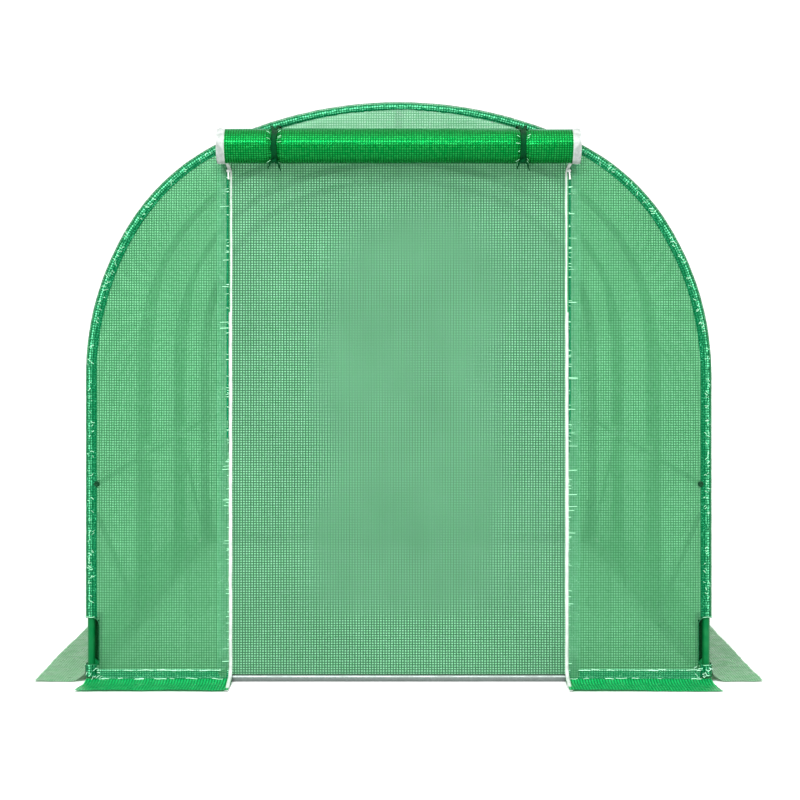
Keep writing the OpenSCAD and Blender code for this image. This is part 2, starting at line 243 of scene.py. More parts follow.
class Shape:
    """Gathers grids of points into one mesh with cloth coordinates in metres."""

    def __init__(self):
        self.points, self.uvs, self.faces, self.slots, self.count = [], [], [], [], 0

    def grid(self, points, uv, keep=None, slot=0, flip=False):
        """points[row][column], its cloth coordinates, and which cells to keep."""
        points = np.asarray(points, float)
        rows, cols = points.shape[:2]
        index = np.arange(rows * cols).reshape(rows, cols)
        quads = pack(index[:-1, :-1], index[:-1, 1:], index[1:, 1:], index[1:, :-1]).reshape(-1, 4)
        if keep is not None:
            quads = quads[np.asarray(keep).reshape(-1)]
        if flip:
            quads = quads[:, ::-1]
        used, back = np.unique(quads, return_inverse=True)
        self.points.append(points.reshape(-1, 3)[used])
        self.uvs.append(np.asarray(uv, float).reshape(-1, 2)[used])
        self.faces.append(back.reshape(-1, 4) + self.count)
        self.slots.append(np.full(len(quads), slot))
        self.count += len(used)

    def tube(self, path, across, radius, sides=8, slot=0):
        """A round bead along path; across gives a direction that isn't along it."""
        ahead = unit(np.gradient(path, axis=0))
        first = unit(np.cross(ahead, np.asarray(across, float)))
        second = np.cross(ahead, first)
        a = np.linspace(0, 2 * math.pi, sides + 1)
        ring = first[:, None] * np.cos(a)[:, None] + second[:, None] * np.sin(a)[:, None]
        uv = pack(run_along(path)[:, None], a[None] * radius)
        self.grid(path[:, None] + ring * radius, uv, slot=slot)

    def ribbon(self, path, wide, width, thick, slot=0):
        """A flat tape along path, as a closed solid; wide is its sideways direction."""
        wide = unit(np.broadcast_to(np.asarray(wide, float), path.shape))
        up = unit(np.cross(np.gradient(path, axis=0), wide))
        width = np.broadcast_to(width, len(path))[:, None]
        w, h = wide * width / 2, up * thick / 2
        corners = [path - w - h, path + w - h, path + w + h, path - w + h, path - w - h]
        girth = np.array([0, 1, 1.05, 2.05, 2.1]) * float(width.mean())
        self.grid(np.stack(corners, 1), pack(run_along(path)[:, None], girth[None]), slot=slot)
        for end in (0, -1):
            cap = np.stack([corners[i][end] for i in (0, 1, 3, 2)]).reshape(2, 2, 3)
            self.grid(cap, np.zeros((2, 2, 2)), slot=slot, flip=end == 0)

    def lathe(self, centre, axis, profile, sides=24, slot=0):
        """Turns (distance along axis, radius) pairs about axis through centre."""
        axis = Vector(axis).normalized()
        side = axis.orthogonal().normalized()
        other = axis.cross(side)
        a = np.linspace(0, 2 * math.pi, sides + 1)
        ring = np.cos(a)[:, None] * np.array(side) + np.sin(a)[:, None] * np.array(other)
        points = [np.array(centre) + np.array(axis) * h + ring * r for h, r in profile]
        run = np.array([h for h, _ in profile])
        self.grid(points, pack(a[None] * profile[0][1], run[:, None]), slot=slot)

    def build(self, name, *materials):
        """Makes the object, riding on the frame's root; the grids' slots pick its materials."""
        mesh = bpy.data.meshes.new(name)
        points, faces = np.concatenate(self.points), np.concatenate(self.faces)
        mesh.from_pydata(points.tolist(), [], faces.tolist())
        layer = mesh.uv_layers.new(name="cloth")
        corner = np.empty(len(mesh.loops), int)
        mesh.loops.foreach_get("vertex_index", corner)
        layer.data.foreach_set("uv", np.concatenate(self.uvs)[corner].ravel())
        mesh.polygons.foreach_set("material_index", np.concatenate(self.slots).astype(int))
        mesh.polygons.foreach_set("use_smooth", [True] * len(mesh.polygons))
        for m in materials:
            mesh.materials.append(m)
        mesh.validate()
        ob = put_in_scene(name, mesh)
        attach(ob, "root")
        return ob


# --- Materials ---


class Nodes:
    """Short names for building a material's nodes."""

    def __init__(self, name):
        self.mat = bpy.data.materials.new(name)
        self.mat.use_nodes = True
        self.nt = self.mat.node_tree
        self.nt.nodes.clear()
        self.out = self.nt.nodes.new("ShaderNodeOutputMaterial")

    def put(self, socket, value):
        if isinstance(value, bpy.types.NodeSocket):
            self.nt.links.new(value, socket)
        elif isinstance(value, tuple) and len(value) == 3 and socket.type == "RGBA":
            socket.default_value = (*value, 1)
        else:
            socket.default_value = value

    def add(self, kind, inputs=(), out=0, **settings):
        """A node with its settings and (socket, value) inputs made; gives one of its outputs."""
        n = self.nt.nodes.new("ShaderNode" + kind)
        for k, v in settings.items():
            setattr(n, k, v)
        for k, v in inputs:
            self.put(n.inputs[k], v)
        return n.outputs[out]

    def maths(self, operation, *values):
        return self.add("Math", enumerate(values), operation=operation)

    def ramp(self, value, low, high, to_low=0.0, to_high=1.0):
        inputs = enumerate((value, low, high, to_low, to_high))
        return self.add("MapRange", inputs, interpolation_type="SMOOTHSTEP")

    def mix(self, factor, a, b):
        return self.add("Mix", [(0, factor), (6, a), (7, b)], 2, data_type="RGBA")

    def shade(self, factor, a, b):
        return self.add("MixShader", enumerate((factor, a, b)))

    def noise(self, vector, scale, detail=2.0, rough=0.5):
        return self.add("TexNoise", [("Vector", vector), ("Scale", scale), ("Detail", detail),
                                     ("Roughness", rough)])

    def cloth(self):
        """The cloth coordinates, as a vector and as its two numbers."""
        uv = self.add("UVMap", uv_map="cloth")
        return uv, self.add("SeparateXYZ", [(0, uv)]), self.add("SeparateXYZ", [(0, uv)], 1)

    def stretched(self, uv, across, along):
        return self.add("Mapping", [("Vector", uv), ("Scale", (across, along, 1))])

    def bump(self, height, distance, strength=1.0, *normal):
        return self.add("Bump", [("Strength", strength), ("Distance", distance), ("Height", height),
                                 *[("Normal", n) for n in normal]])

    def principled(self, colour, rough, **inputs):
        more = [(k.replace("_", " "), v) for k, v in inputs.items()]
        return self.add("BsdfPrincipled", [("Base Color", colour), ("Roughness", rough), *more])

    def finish(self, shader):
        self.put(self.out.inputs["Surface"], shader)
        return self.mat


WEAVE = (0.0081, 0.0081)  # squares of the reinforcing threads, across and up


def lighter(colour, times, lift=0.0):
    return tuple(min(1.0, c * times + lift) for c in colour)


def thread_masks(m, u, v, pitch, line):
    """Where the threads up and across the cloth lie, from 0 to 1; line is their share of the pitch."""
    masks = []
    for along, step in ((u, pitch[0]), (v, pitch[1])):
        there = m.maths("PINGPONG", m.maths("DIVIDE", along, step), 0.5)
        masks.append(m.ramp(there, line / 2 - 0.08, line / 2 + 0.08, 1.0, 0.0))
    return masks


def square_chance(m, u, v, pitch):
    """A random number for each square of the weave."""
    counts = [m.maths("FLOOR", m.maths("DIVIDE", along, step)) for along, step in zip((u, v), pitch)]
    square = m.add("CombineXYZ", enumerate(counts))
    return m.add("TexWhiteNoise", [("Vector", square)], noise_dimensions="2D")


def unevenness(m, uv):
    """Clouds and long streaks in the cloth's colour, from 0 to 1."""
    cloudy = m.ramp(m.noise(uv, 3.2, 4.0, 0.6), 0.3, 0.7)
    streaks = m.ramp(m.noise(m.stretched(uv, 90.0, 1.3), 1.0, 2.0), 0.25, 0.75)
    return m.maths("ADD", m.maths("MULTIPLY", cloudy, 0.55), m.maths("MULTIPLY", streaks, 0.45))


def painted_highlight_stripe(m, base, uv, v, threads, ridge):
    """Painted highlight: pale dots in a stripe where the cloth lies over a tube; ridge is its middle,
    half-width and colour.
    """
    middle_v, half, colour = ridge
    near = m.maths("ABSOLUTE", m.maths("SUBTRACT", v, middle_v))
    mottling = m.ramp(m.noise(m.stretched(uv, 60.0, 200.0), 1.0, 2.0), 0.35, 0.62)
    stripe = m.maths("MULTIPLY", m.ramp(near, half * 0.4, half, 1.0, 0.0), mottling)
    dots = m.maths("MULTIPLY", stripe, m.maths("SUBTRACT", 1.0, threads))
    return m.mix(m.maths("MULTIPLY", dots, 0.9), base, colour)


def painted_crease_glints(m, base, uv, flecks):
    """Painted glints: small pale flecks on fine creases, in patches; flecks is their colour and share."""
    colour, share = flecks
    edge = 0.66 - 0.3 * share
    fine = m.ramp(m.noise(m.stretched(uv, 330.0, 160.0), 1.0, 3.0, 0.6), edge, edge + 0.07)
    patchy = m.ramp(m.noise(uv, 22.0, 2.0), 0.40, 0.62, 0.25, 1.0)
    return m.mix(m.maths("MULTIPLY", fine, patchy), base, colour)


def woven(name, cell, thread, see=0.0, glow=0.0, rough=0.35, pitch=WEAVE, line=0.36, specular=0.5,
          mottle=0.3, crinkle=0.5, weave_depth=0.0005, gleam=(0.55, 1.0, 0.75), metallic=0.0,
          ridge=None, flecks=None, one_way=False):
    """Woven plastic sheet: darker reinforcing threads round paler squares.

    see is how much of a square is clear, glow how much of the light the sheet scatters through
    and gleam the colour of its highlights. With one_way, only the threads up the cloth show.
    """
    m = Nodes(name)
    uv, u, v = m.cloth()
    masks = thread_masks(m, u, v, pitch, line)
    threads = masks[0] if one_way else m.maths("MAXIMUM", *masks)
    chance = square_chance(m, u, v, pitch)
    level = m.maths("MULTIPLY", unevenness(m, uv), mottle)
    base = m.mix(m.maths("MULTIPLY", chance, 0.45), cell, lighter(cell, 1.5, 0.02))
    base = m.mix(m.maths("MULTIPLY", threads, 0.92), m.mix(level, base, thread), thread)
    # painted highlight: a pale dotted stripe along the cloth
    if ridge:
        base = painted_highlight_stripe(m, base, uv, v, threads, ridge)
    # painted glints: small pale flecks in patches
    if flecks:
        base = painted_crease_glints(m, base, uv, flecks)
    fibres = [m.maths("PINGPONG", m.maths("DIVIDE", a, p / 3), 0.5) for a, p in zip((u, v), pitch)]
    knots = m.maths("MULTIPLY", *masks)
    relief = m.maths("ADD", m.maths("MULTIPLY", threads, 0.6), m.maths("MULTIPLY", knots, 0.4))
    relief = m.maths("ADD", relief, m.maths("MULTIPLY", m.maths("ADD", *fibres), 0.25))
    normal = m.bump(relief, weave_depth, 0.6)
    normal = m.bump(m.noise(uv, 38.0, 5.0, 0.65), 0.004 * crinkle, 0.6, normal)
    shine = m.ramp(m.noise(uv, 25.0, 3.0), 0.3, 0.7, rough * 0.75, min(1.0, rough * 1.25))
    body = m.principled(base, shine, Normal=normal, Specular_IOR_Level=specular, Specular_Tint=gleam,
                        Metallic=metallic)
    tint = tuple(c ** 0.8 for c in cell)  # the colour of light that comes through
    if glow:
        lit = m.mix(m.maths("MULTIPLY", chance, 0.3), tint, lighter(tint, 1.25, 0.03))
        lit = m.mix(level, lit, lighter(tint, 0.55))
        lit = m.mix(m.maths("MULTIPLY", threads, 0.9), lit, lighter(tint, 0.28))
        through = m.add("BsdfTranslucent", [("Color", lit), ("Normal", normal)])
        body = m.shade(glow, body, through)
    if see:
        clear = m.add("BsdfTransparent", [("Color", tuple(c ** 0.35 for c in tint))])
        open_share = m.maths("MULTIPLY", m.maths("SUBTRACT", 1.0, threads), see)
        body = m.shade(open_share, body, clear)
    return m.finish(body)


def galvanised():
    """Dull zinc with a fine spangle."""
    m = Nodes("galvanised_tube")
    place = m.add("TexCoord", out="Object")
    flakes = m.add("TexVoronoi", [("Vector", place), ("Scale", 160.0)], "Color")
    smear = m.noise(place, 14.0, 4.0, 0.6)
    shade = m.maths("MULTIPLY", m.add("SeparateColor", [(0, flakes)]), 0.35)
    colour = m.mix(shade, (0.14, 0.17, 0.16), (0.22, 0.25, 0.24))
    colour = m.mix(m.ramp(smear, 0.45, 0.75, 0.0, 0.35), colour, (0.15, 0.17, 0.16))
    rough = m.ramp(smear, 0.3, 0.7, 0.30, 0.48)
    normal = m.bump(m.noise(place, 240.0, 2.0), 0.0003, 0.35)
    return m.finish(m.principled(colour, rough, Metallic=0.85, Normal=normal))


def moulded(name, colour, rough=0.38, gleam=(1, 1, 1)):
    """Moulded plastic with a fine grain and slightly paler patches."""
    m = Nodes(name)
    place = m.add("TexCoord", out="Object")
    patch = m.noise(place, 30.0, 3.0)
    paler = tuple(min(1.0, c * 1.35 + 0.01) for c in colour)
    tone = m.mix(m.ramp(patch, 0.35, 0.7, 0.0, 0.5), colour, paler)
    grain = m.noise(place, 900.0, 2.0)
    return m.finish(m.principled(tone, m.ramp(patch, 0.3, 0.7, rough, rough + 0.12),
                                 Normal=m.bump(grain, 0.0002, 0.4), Specular_Tint=gleam))


def tape(name, colour, shade, gleam, rib=0.0012, rough=0.6):
    """Woven tape with fine ribs across it."""
    m = Nodes(name)
    uv, u, v = m.cloth()
    ribs = m.maths("PINGPONG", m.maths("DIVIDE", u, rib), 0.5)
    cords = m.maths("PINGPONG", m.maths("DIVIDE", v, rib * 1.6), 0.5)
    relief = m.maths("ADD", ribs, m.maths("MULTIPLY", cords, 0.6))
    mottling = m.noise(uv, 45.0, 4.0)
    tone = m.mix(m.ramp(mottling, 0.35, 0.7, 0.0, 0.6), colour, shade)
    tone = m.mix(m.maths("MULTIPLY", ribs, 0.35), tone, shade)
    return m.finish(m.principled(tone, rough, Normal=m.bump(relief, 0.0005, 0.6),
                                 Specular_IOR_Level=0.3, Specular_Tint=gleam))


def floor_material():
    m = Nodes("studio_floor")
    place = m.add("TexCoord", out="Object")
    patches = m.ramp(m.noise(place, 0.6, 2.0), 0.3, 0.7)
    tone = m.mix(patches, (0.78, 0.78, 0.78), (0.80, 0.80, 0.80))
    return m.finish(m.principled(tone, 0.9, Specular_IOR_Level=0.1))


COVER = woven("cover_sheet", (0.25, 0.82, 0.38), (0.003, 0.085, 0.025), see=0.54, glow=0.50, line=0.42)
CRESCENT = woven("crescent_sheet", (0.58, 0.98, 0.68), (0.02, 0.22, 0.08), see=0.50, glow=0.50, line=0.40)
SCREEN = woven("screen_mesh", (0.32, 0.88, 0.46), (0.0, 0.035, 0.012), see=0.42, glow=0.45,
               rough=0.55, crinkle=0.5, weave_depth=0.0010, line=0.46, pitch=(0.0089, 0.0081))
# the sleeve's ridge is a painted highlight along the tube's front, and its flecks are painted glints
SLEEVE = woven("sleeve_sheet", (0.0, 0.12, 0.038), (0.0, 0.05, 0.015), glow=0.10, rough=0.15, crinkle=1.4,
               weave_depth=0.0016, gleam=(0.08, 1.0, 0.45), specular=0.30,
               ridge=(0.0020, 0.0068, (0.18, 0.82, 0.42)), flecks=((0.07, 0.50, 0.24), 0.28))
STRIP = woven("strip_sheet", (0.03, 0.33, 0.11), (0.004, 0.12, 0.035), see=0.1, glow=0.30, rough=0.28,
              crinkle=1.0)
# the facing's flecks are painted glints
FACING = woven("facing_sheet", (0.32, 0.84, 0.46), (0.01, 0.15, 0.055), see=0.60, glow=0.45, rough=0.25,
               crinkle=0.9, line=0.38, flecks=((0.55, 0.92, 0.66), 0.12))
# darker cloth for painted shade in the groove beside the zip; its flecks are painted glints
GROOVE_SHADE = woven("groove_painted_shade", (0.0, 0.14, 0.05), (0.0, 0.08, 0.025), glow=0.15, rough=0.2, crinkle=1.5,
               gleam=(0.2, 1.0, 0.5), flecks=((0.10, 0.40, 0.20), 0.2))
SKIRT = woven("skirt_sheet", (0.25, 0.62, 0.29), (0.006, 0.09, 0.025), see=0.08, glow=0.25, line=0.46,
              gleam=(0.6, 1.0, 0.7))
FLAP = woven("flap_sheet", (0.004, 0.42, 0.105), (0.0, 0.10, 0.020), glow=0.20, rough=0.35, crinkle=1.0,
             mottle=0.6, gleam=(0.1, 1.0, 0.4), line=0.42, pitch=(0.0092, 0.0092), one_way=True)
# the hem's ridge is a painted highlight line along its top bead, and its flecks are painted glints
HEM = woven("hem_sheet", (0.03, 0.32, 0.13), (0.004, 0.12, 0.045), glow=0.25, rough=0.14, crinkle=1.6,
            specular=0.7, gleam=(0.5, 1.0, 0.7), ridge=(0.036, 0.0022, (0.45, 0.85, 0.60)),
            flecks=((0.30, 0.74, 0.46), 0.24))
ROLL = woven("rolled_sheet", (0.0, 0.175, 0.024), (0.0, 0.05, 0.003), rough=0.16, crinkle=0.3, mottle=0.1,
             weave_depth=0.0009, specular=0.16, gleam=(0.08, 1.0, 0.75), metallic=0.40)
# a near-black sheet set behind each corner cut-out
CUTOUT_BACKDROP = woven("cutout_backdrop", (0.0, 0.05, 0.012), (0.0, 0.03, 0.006), rough=0.9, gleam=(0.0, 0.5, 0.1),
               specular=0.1)
RIM = moulded("bound_edge", (0.0, 0.10, 0.03), 0.2, gleam=(0.6, 1.0, 0.8))
# pale strokes: painted highlights on crinkles, creases, cut edges and threads
THREAD_GLINT = moulded("painted_thread_glint", (0.30, 0.66, 0.42), 0.4)
# painted highlights on the hem's crumpled edges
GLINT = moulded("painted_crumple_glint", (0.42, 0.76, 0.55), 0.25)
COIL = tape("coil_tape", (0.35, 0.37, 0.36), (0.10, 0.13, 0.11), rough=0.5, rib=0.0034, gleam=(1, 1, 1))
TIE = tape("tie_tape", (0.0, 0.032, 0.007), (0.0, 0.008, 0.002), gleam=(0.05, 0.5, 0.2))
ZIP = tape("zip_tape", (0.50, 0.55, 0.51), (0.30, 0.36, 0.32), rough=0.5, gleam=(1, 1, 1))
TEETH = moulded("zip_teeth", (0.58, 0.61, 0.59), 0.3)
STEEL = galvanised()
PLASTIC = moulded("green_plastic", (0.0, 0.085, 0.018), gleam=(0.1, 0.8, 0.4))
DARK = moulded("dark_plastic", (0.0, 0.012, 0.003), 0.4, gleam=(0.05, 0.5, 0.2))


# --- Stage and camera ---


def make_camera():
    """Level, in front of the door end, with the ground low in the picture."""
    cam = bpy.data.cameras.new("camera")
    cam.sensor_width, cam.lens = 36, 70.7
    cam.shift_x, cam.shift_y = 0.0016, -0.119
    cam.clip_end = 200
    place = (0, -FACE_Y - CAMERA_BACK, CAMERA_UP)
    bpy.context.scene.camera = put_in_scene("camera", cam, place, (math.pi / 2, 0, 0))


def make_lights():
    """One broad overhead light and a front softbox."""
    sun = bpy.data.lights.new("overhead", "SUN")
    sun.energy, sun.angle = 2.6, math.radians(50)
    put_in_scene("overhead", sun, turn=(math.radians(32), math.radians(-6), 0))
    box = bpy.data.lights.new("softbox_front", "AREA")
    box.shape, box.size, box.size_y, box.energy = "RECTANGLE", 3.2, 0.9, 290
    place, target = Vector((-0.6, -6.4, 4.0)), Vector((0, -FACE_Y, 1.5))
    put_in_scene("softbox_front", box, place, (target - place).to_track_quat("-Z", "Y").to_euler())


def make_stage():
    """A wide pale floor and a white surround."""
    mesh = bpy.data.meshes.new("studio_floor")
    r = 60.0
    mesh.from_pydata([(-r, -r, 0), (r, -r, 0), (r, r, 0), (-r, r, 0)], [], [(0, 1, 2, 3)])
    mesh.materials.append(floor_material())
    put_in_scene("studio_floor", mesh)
    world = bpy.data.worlds.new("studio")
    world.use_nodes = True
    surround = world.node_tree.nodes["Background"]
    surround.inputs["Color"].default_value = (1, 1, 1, 1)
    surround.inputs["Strength"].default_value = 1.25
    bpy.context.scene.world = world
    bpy.context.scene.view_settings.view_transform = "Standard"


# --- Cover ---


def wall_bulge(x, z, pattern=0):
    """How far an end wall's sheet stands out from the hoop: soft waves, and pulls from the corners.

    pattern picks other waves, so that the two ends differ.
    """
    free = smooth_step(half_width(z, 0.0) - np.abs(x), 0.02, 0.10) * smooth_step(z, FLAP_Z, 0.09)
    waves = 0.0030 + 0.0030 * soft(x * 3.1 + 4, z * 1.9, pattern + 1)
    waves = waves + 0.0016 * soft(x * 9, z * 6, pattern + 2)
    corners = smooth_step(np.abs(x), 0.5, 0.9)
    pull = 0.0022 * crease((x + z) * 7, (x - z) * 2.2, pattern + 3) * corners
    return 0.0012 + np.maximum(free * (waves + pull), 0)


def pocket_gap(x, z, edge):
    """Is a point inside the corner cut-out? Its inner corners are rounded, the upper one more."""
    low, high = POCKET_Z
    inner = edge - POCKET_W
    inside = (x > inner) & (z > low) & (z < high)
    r = POCKET_R
    for r, cz, beyond in ((r, high - r, z > high - r), (r / 2, low + r / 2, z < low + r / 2)):
        corner = (x < inner + r) & beyond
        inside &= ~(corner & (np.hypot(x - inner - r, z - cz) > r))
    return inside


def end_hem(name, end, x_in, x_out):
    """The doubled hem along the foot of an end wall: two rolled edges with stitching between them."""
    shape = Shape()
    low, high = HEM_Z
    x, q = grid_of(lines(x_in, x_out, 0.004), np.linspace(0, 1, 15))
    z = low + (high - low) * q + 0.0010 * soft(x * 25, q * 0, 91)
    beads = np.exp(-((q - 0.12) / 0.07) ** 2) + np.exp(-((q - 0.90) / 0.07) ** 2)
    puckers = crease(x * 60, q * 1.3, 92) * 0.5 + crease(x * 140, q * 2, 93) * 0.5
    lift = 0.0012 + 0.0022 * beads * (0.6 + 0.6 * puckers) + 0.0020 * puckers * np.sin(q * math.pi)
    lift *= smooth_step(q, -0.02, 0.05) * smooth_step(1 - q, -0.02, 0.05) * 0.85 + 0.15
    out = WALL_Y + wall_bulge(x, z, 0 if end < 0 else REAR) + lift
    sides = (-1, 1) if x_in > 0 else (1,)
    for side in sides:
        shape.grid(pack(side * x, end * out, z), pack(x, q * 0.04), flip=(side > 0) == (end > 0))
    ob = shape.build(name, HEM)


def backdrop_line():
    """The backdrop's way across a cut-out, from behind the wall round to behind the cover: x and y."""
    steps = np.array([(0.052, 0), (0.044, 0.010), (0.036, 0.022), (0.026, 0.031), (0.012, 0.040),
                      (0, 0.052)])
    route = np.array([EDGE_X - 0.0015, FACE_Y - 0.0025]) - steps
    t = np.linspace(0, 1, 15)
    return pack(*[np.interp(t, np.linspace(0, 1, len(route)), column) for column in route.T])


def rim_line():
    """Round the edge of a cut-out as seen from its end: x and z."""
    low, high = POCKET_Z
    inner, r = EDGE_X - POCKET_W, POCKET_R
    bend = [(inner + r - r * math.sin(a), high - r + r * math.cos(a)) for a in np.linspace(0.2, 1.57, 7)]
    return np.array([(EDGE_X + 0.001, high)]
                    + [(x, high) for x in np.linspace(EDGE_X - 0.004, inner + r, 4)] + bend
                    + [(inner, z) for z in np.linspace(high - r - 0.01, low + 0.012, 10)]
                    + [(inner + 0.004, low + 0.005), (inner + 0.012, low)]
                    + [(x, low) for x in np.linspace(inner + 0.018, EDGE_X, 4)])


def pocket_trim():
    """A near-black backdrop sheet inside each cut-out, the bound rim round it, and pale lines on the
    sleeve's cut edges that are painted highlights.
    """
    backdrop, rim = Shape(), Shape()
    low, high = POCKET_Z
    line, around = backdrop_line(), rim_line()
    z, k = grid_of(lines(low - 0.012, high + 0.012, 0.008), np.arange(len(line)))
    fold = 0.0015 * soft(z * 60, k * 0.5, 95)
    a = np.linspace(-0.9, 1.5, 14)  # round the tube, from the wall side to the outside
    cut_x, cut_y = [c + (SLEEVE_R + 0.001) * f(a) for c, f in ((HALF_W, np.sin), (END_Y, np.cos))]
    for end in (-1, 1):
        for side in (-1, 1):
            # the near-black backdrop sheet behind the cut-out
            points = pack(side * (line[k, 0] - fold), end * (line[k, 1] - fold), z)
            backdrop.grid(points, pack(z, k * 0.005), flip=side * end > 0)
            path = pack(side * around[:, 0], end * (FACE_Y + 0.0015), around[:, 1])
            rim.tube(path, (0, 1, 0), 0.0012, 6)
            # pale lines along the sleeve's cut edges, painted highlights
            for z0 in (high + 0.0012, low - 0.0012):
                path = pack(side * cut_x, end * cut_y, z0 + 0.0008 * np.sin(a * 5 + side))
                rim.tube(path, (0, 0.2, 1), 0.0010, 6, slot=1)
    ob = backdrop.build("pocket_linings", CUTOUT_BACKDROP)
    rim.build("pocket_rims", RIM, THREAD_GLINT)


def front_panels():
    """The end wall from each zip out to the arch."""
    table_x, table_z = arch(TABLE_S, COVER_OFF - 0.001)[:2]
    wide = EDGE_X - DOOR_X
    zs = lines(FLAP_Z, float(np.interp(DOOR_X, table_x, table_z)), 0.009, POCKET_LINES)
    z, t = grid_of(zs, lines(0, 1, 0.009 / wide, [(EDGE_X - POCKET_W - DOOR_X) / wide]))
    x = DOOR_X + t * (half_width(z, COVER_OFF) - DOOR_X)
    y = -(WALL_Y + wall_bulge(x, z))
    keep = ~pocket_gap(cells(x), cells(z), EDGE_X)
    for side, word in SIDES:
        shape = Shape()
        shape.grid(pack(side * x, y, z), pack(x, z), keep, flip=side < 0)
        panel = shape.build(f"front_panel_{word}", COVER)
        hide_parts(f"front_wall_{word}")


def front_crescent():
    """The end wall over the doorway."""
    shape = Shape()
    x, t = grid_of(lines(-DOOR_X, DOOR_X, 0.010), lines(0, 1, 0.06))
    table_x, table_z = arch(TABLE_S, COVER_OFF)[:2]
    z = DOOR_TOP + t * (np.interp(np.abs(x), table_x, table_z) - DOOR_TOP)
    shape.grid(pack(x, -(WALL_Y + wall_bulge(x, z)), z), pack(x, z), flip=True)
    ob = shape.build("front_crescent", CRESCENT)
    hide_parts("front_wall_top")


def rear_panel():
    """The rear wall, one plain sheet."""
    shape = Shape()
    zs = lines(FLAP_Z, TOP_Z + COVER_OFF - 0.0005, 0.014, POCKET_LINES)
    z, t = grid_of(zs, lines(-1, 1, 0.014, [1 - POCKET_W / EDGE_X, POCKET_W / EDGE_X - 1]))
    x = t * half_width(z, COVER_OFF)
    keep = ~pocket_gap(np.abs(cells(x)), cells(z), EDGE_X)
    shape.grid(pack(x, WALL_Y + wall_bulge(x, z, REAR), z), pack(x, z), keep, flip=True)
    ob = shape.build("rear_panel", COVER)
    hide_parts("rear_wall")


def slack(s, y):
    """How far the cover sinks between the hoops, with its waves, pressed-in fold lines and drapes."""
    t = (y - HOOP_YS[0]) / (HOOP_YS[1] - HOOP_YS[0]) % 1.0
    t = np.where((y <= HOOP_YS[0]) | (y >= HOOP_YS[-1]), 0, t)
    between = np.clip(4 * t * (1 - t), 0, 1) ** 0.7
    on_roof = smooth_step(np.abs(s), ARCH_L, ARCH_L * 0.5)
    waves = 0.0030 * soft(s * 2.2, y * 3.0, 4) + 0.0014 * soft(s * 7, y * 8, 5)
    fold = 0.0016 * np.exp(-((np.abs((s + 0.11) % 0.49 - 0.245)) / 0.006) ** 2)
    fold += 0.0014 * np.exp(-((np.abs((y + 0.2) % 0.61 - 0.305)) / 0.006) ** 2)
    drape = 0.0035 * crease(s * 1.3 + 0.6 * y, y * 5.2, 6) * smooth_step(np.abs(s), ARCH_L * 0.7, ARCH_L)
    return between * (0.006 + 0.008 * on_roof) + between * (0.004 + waves - fold + drape)


def roof_cover():
    """The sheet over the hoops, from one side skirt to the other."""
    shape = Shape()
    low = leg_s(SKIRT_Z)
    marks = [leg_s(z) for z in POCKET_LINES]
    ss = lines(-low, low, 0.020, marks + [-m for m in marks])
    s, y = grid_of(ss, lines(-WALL_Y, WALL_Y, 0.020, [POCKET_W - WALL_Y, WALL_Y - POCKET_W, *HOOP_YS]))
    x, z, nx, nz = arch(s, COVER_OFF - 0.001)
    sink = slack(s, y)
    keep = ~pocket_gap(np.abs(cells(y)), leg_z(cells(s)), WALL_Y)
    shape.grid(pack(x - nx * sink, y, z - nz * sink), pack(y, s), keep)
    ob = shape.build("cover_sheet", COVER)
    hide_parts("roof_cover")


def hoop_pocket(shape, y0):
    """The loose channel inside the cover that a middle hoop runs through, slit at the rails.

    It hangs deep beside the legs and lies close over the arch.
    """
    ss = lines(-leg_s(0.075), leg_s(0.075), 0.014)
    s, k = grid_of(ss, np.linspace(-1, 1, 17))
    deep = 0.010 + 0.037 * smooth_step(np.abs(s), ARCH_L * 0.66, ARCH_L * 0.92)
    deep = deep + 0.003 * soft(s * 5, k * 0 + y0, 15) + 0.0015 * soft(s * 40, k * 2, 16)
    off = COVER_OFF - 0.004 - deep * (1 - np.abs(k) ** 2.6)
    y = y0 + 0.0165 * np.sign(k) * np.abs(k) ** 0.5 * (1 + 0.25 * soft(s * 7, k + y0, 17))
    x, z, _, _ = arch(s, off)
    sc = np.abs(cells(s))
    slit = (sc < 0.03) | (np.abs(sc - leg_s(RAIL_Z)) < 0.03)
    shape.grid(pack(x, y, z), pack(s, k * 0.05), ~slit)


def hoop_strips():
    """The strips over the middle hoops, with raised edges, and the channels under them."""
    shape = Shape()
    low = leg_s(SKIRT_Z)
    half = BAND_W / 2
    ws = np.array([-half, -half + 0.003, -0.016, -0.009, 0, 0.009, 0.016, half - 0.003, half])
    for y0 in HOOP_YS[1:-1]:
        s, w = grid_of(lines(-low, low, 0.012), ws)
        y = y0 + w + 0.0012 * soft(s * 6, w * 0 + y0, 8)
        lift = 0.0014 - slack(s, y) + 0.0008 * crease(s * 30, w * 60, 9) * (np.abs(w) > 0.012)
        lift += 0.0012 * (np.abs(np.abs(w) - half + 0.003) < 0.001)
        x, z, nx, nz = arch(s, COVER_OFF)
        shape.grid(pack(x + nx * lift, y, z + nz * lift), pack(s, w), flip=True)
    for y0 in HOOP_YS[1:-1]:
        hoop_pocket(shape, y0)
    ob = shape.build("hoop_strips", STRIP)
    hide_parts("cover_bands")


